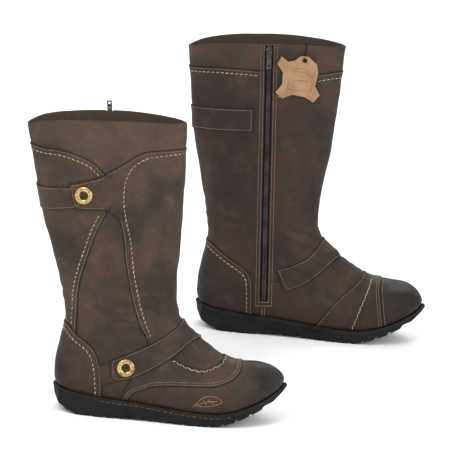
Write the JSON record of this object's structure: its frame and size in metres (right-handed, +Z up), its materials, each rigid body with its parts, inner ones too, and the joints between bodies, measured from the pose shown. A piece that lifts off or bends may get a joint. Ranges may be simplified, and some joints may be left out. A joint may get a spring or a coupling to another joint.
{
  "type": "riding boots",
  "caption": "Pair of tall leather riding boots with inside zip, strap tabs with ring snaps, cupped rubber sole and a hide-shaped hang tag.",
  "frame": {"origin": "centre of the pair's bounding box, on the floor under the soles", "axes": "+X from heel to toe, +Y from the right boot to the left boot, +Z up"},
  "size_m": [0.5002, 0.507, 0.3784],
  "materials": {
    "leather": "oiled, matt",
    "lining": "woven",
    "board": "pressed fibre board",
    "footbed": "felted",
    "rubber": "moulded",
    "welt": "smooth",
    "steel": "plain",
    "brass": "antiqued",
    "gunmetal": "dark plated",
    "tape": "woven",
    "coil": "moulded nylon",
    "card": "plain",
    "cord": "waxed"
  },
  "bodies": {
    "boots": {"right_insole_board": "board", "right_top_band": "leather", "right_shaft_front": "leather", "right_shaft_back": "leather", "right_gusset": "leather", "right_heel_counter": "leather", "right_instep_apron": "leather", "right_mid_vamp": "leather", "right_toe_panel": "leather", "right_back_strap": "leather", "right_instep_strap": "leather", "right_strap_base": "leather", "right_lining": "lining", "right_heel_stiffener": "board", "right_toe_puff": "board", "right_footbed": "footbed", "right_outsole": "rubber", "right_welt": "welt", "right_shank": "steel", "right_upper_snap_ring": "brass", "right_upper_snap_cap": "gunmetal", "right_lower_snap_ring": "brass", "right_lower_snap_cap": "gunmetal", "right_zip_tape_front": "tape", "right_zip_tape_rear": "tape", "right_zip_coil_front": "coil", "right_zip_coil_rear": "coil", "left_insole_board": "board", "left_top_band": "leather", "left_shaft_front": "leather", "left_shaft_back": "leather", "left_gusset": "leather", "left_heel_counter": "leather", "left_instep_apron": "leather", "left_mid_vamp": "leather", "left_toe_panel": "leather", "left_back_strap": "leather", "left_instep_strap": "leather", "left_strap_base": "leather", "left_lining": "lining", "left_heel_stiffener": "board", "left_toe_puff": "board", "left_footbed": "footbed", "left_outsole": "rubber", "left_welt": "welt", "left_shank": "steel", "left_upper_snap_ring": "brass", "left_upper_snap_cap": "gunmetal", "left_lower_snap_ring": "brass", "left_lower_snap_cap": "gunmetal", "left_zip_tape_front": "tape", "left_zip_tape_rear": "tape", "left_zip_coil_front": "coil", "left_zip_coil_rear": "coil", "tag_cord": "cord"},
    "right_slider": {"right_zip_slider": "gunmetal"},
    "right_pull": {"right_zip_pull": "gunmetal"},
    "left_slider": {"left_zip_slider": "gunmetal"},
    "left_pull": {"left_zip_pull": "gunmetal"},
    "tag": {"hang_tag": "card"}
  },
  "joints": [
    {"name": "right_zip_slide", "type": "slide", "parent": "boots", "child": "right_slider", "axis": [0.1195, 0.0251, -0.9925], "range_m": [0, 0.307]},
    {"name": "right_pull_hinge", "type": "hinge", "parent": "right_slider", "child": "right_pull", "pos_m": [-0.1509, -0.17592, 0.35816], "axis": [-0.9928, 0, -0.1195], "range_deg": [0, 180]},
    {"name": "left_zip_slide", "type": "slide", "parent": "boots", "child": "left_slider", "axis": [0.0493, -0.0253, -0.9985], "range_m": [0, 0.305]},
    {"name": "left_pull_hinge", "type": "hinge", "parent": "left_slider", "child": "left_pull", "pos_m": [0.03541, 0.17592, 0.35811], "axis": [-0.9988, 0, -0.0493], "range_deg": [0, 180]},
    {"name": "tag_swing", "type": "hinge", "parent": "boots", "child": "tag", "pos_m": [0.07927, 0.17874, 0.35202], "axis": [-0.9863, -0.1568, 0.052], "range_deg": [0, 20]}
  ]
}
